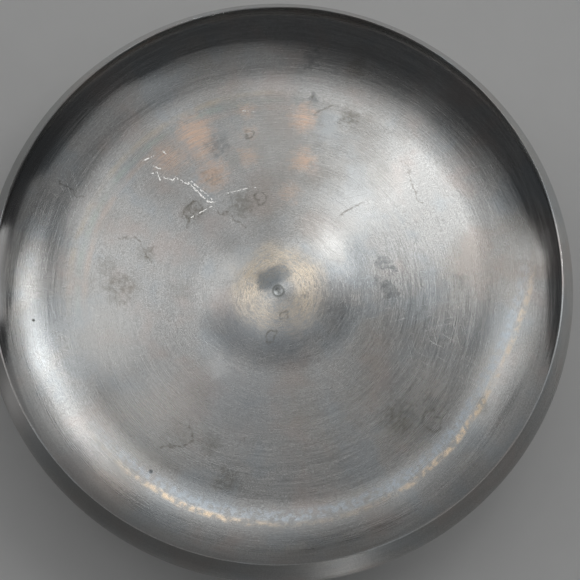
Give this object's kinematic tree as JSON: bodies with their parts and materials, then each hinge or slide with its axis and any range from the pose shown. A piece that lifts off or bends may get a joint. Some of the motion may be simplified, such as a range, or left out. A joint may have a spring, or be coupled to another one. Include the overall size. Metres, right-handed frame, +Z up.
{
  "type": "saucepan lid",
  "caption": "Round stainless steel saucepan lid lying inside-up on its knob, with a near-flat panel, wide cove, rounded shoulder, slanted skirt and a bolted heat-proof knob.",
  "frame": {"origin": "centre of the knob's flat end, which the lid lies on, at the middle of the underside of the whole lid", "axes": "+Z up along the lid's axis, through its open side, from the knob to the cut edge; X and Y lie across it and are alike"},
  "size_m": [0.2082, 0.2082, 0.0543],
  "materials": {
    "lid_steel": "circular brushed inside, polished outside, water stains and light scratches",
    "stud_steel": "plain rolled thread",
    "guard_steel": "polished stainless steel",
    "knob_phenolic": "black phenolic, satin",
    "fastener_steel": "zinc plated",
    "cap_steel": "circular brushed"
  },
  "bodies": {
    "root": {"lid_shell": "lid_steel", "weld_stud": "stud_steel", "heat_guard": "guard_steel", "knob": "knob_phenolic", "flat_washer": "fastener_steel", "spring_washer": "fastener_steel", "hex_nut": "fastener_steel", "knob_cap": "cap_steel"}
  },
  "joints": []
}
